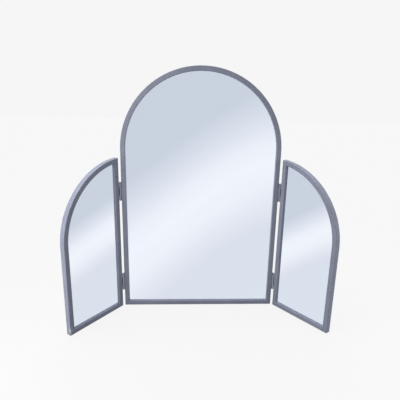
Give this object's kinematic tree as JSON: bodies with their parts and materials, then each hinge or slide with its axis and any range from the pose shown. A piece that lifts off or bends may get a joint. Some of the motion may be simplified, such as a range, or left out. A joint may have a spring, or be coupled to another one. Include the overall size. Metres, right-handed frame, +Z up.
{
  "type": "dressing table mirror",
  "caption": "Tri-fold dressing table mirror: an arched centre mirror in a slim grey metal frame with a quarter-arch wing hinged on each side.",
  "frame": {"origin": "middle of the centre frame's underside, at mid depth, on the surface that the mirror stands on", "axes": "+X across to the viewer's right, +Y back, away from the viewer, +Z up"},
  "size_m": [0.703, 0.1699, 0.69],
  "materials": {
    "frame_paint": "satin",
    "hinge_steel": "satin",
    "mirror_glass": "polished",
    "backing_board": "matte",
    "zinc_plated_steel": "satin"
  },
  "bodies": {
    "centre_panel": {"centre_arch_bar": "frame_paint", "centre_base_rail": "frame_paint", "centre_mirror": "mirror_glass", "centre_backing_board": "backing_board", "centre_retaining_clips": "zinc_plated_steel", "centre_clip_screws": "zinc_plated_steel", "centre_hinge_screws": "zinc_plated_steel", "left_upper_hinge_frame_leaf": "hinge_steel", "left_upper_hinge_pin": "zinc_plated_steel", "left_lower_hinge_frame_leaf": "hinge_steel", "left_lower_hinge_pin": "zinc_plated_steel", "right_upper_hinge_frame_leaf": "hinge_steel", "right_upper_hinge_pin": "zinc_plated_steel", "right_lower_hinge_frame_leaf": "hinge_steel", "right_lower_hinge_pin": "zinc_plated_steel"},
    "left_wing": {"left_wing_arch_bar": "frame_paint", "left_wing_inner_stile": "frame_paint", "left_wing_base_rail": "frame_paint", "left_wing_mirror": "mirror_glass", "left_wing_backing_board": "backing_board", "left_wing_retaining_clips": "zinc_plated_steel", "left_wing_clip_screws": "zinc_plated_steel", "left_wing_hinge_screws": "zinc_plated_steel", "left_upper_hinge_wing_leaf": "hinge_steel", "left_lower_hinge_wing_leaf": "hinge_steel"},
    "right_wing": {"right_wing_arch_bar": "frame_paint", "right_wing_inner_stile": "frame_paint", "right_wing_base_rail": "frame_paint", "right_wing_mirror": "mirror_glass", "right_wing_backing_board": "backing_board", "right_wing_retaining_clips": "zinc_plated_steel", "right_wing_clip_screws": "zinc_plated_steel", "right_wing_hinge_screws": "zinc_plated_steel", "right_upper_hinge_wing_leaf": "hinge_steel", "right_lower_hinge_wing_leaf": "hinge_steel"}
  },
  "joints": [
    {"name": "left_wing_hinge", "type": "hinge", "parent": "centre_panel", "child": "left_wing", "pos_m": [-0.22475, -0.009, 0], "axis": [0, 0, 1], "range_deg": [-63.5, 126.5]},
    {"name": "right_wing_hinge", "type": "hinge", "parent": "centre_panel", "child": "right_wing", "pos_m": [0.22475, -0.009, 0], "axis": [0, 0, -1], "range_deg": [-63.5, 126.5]}
  ]
}
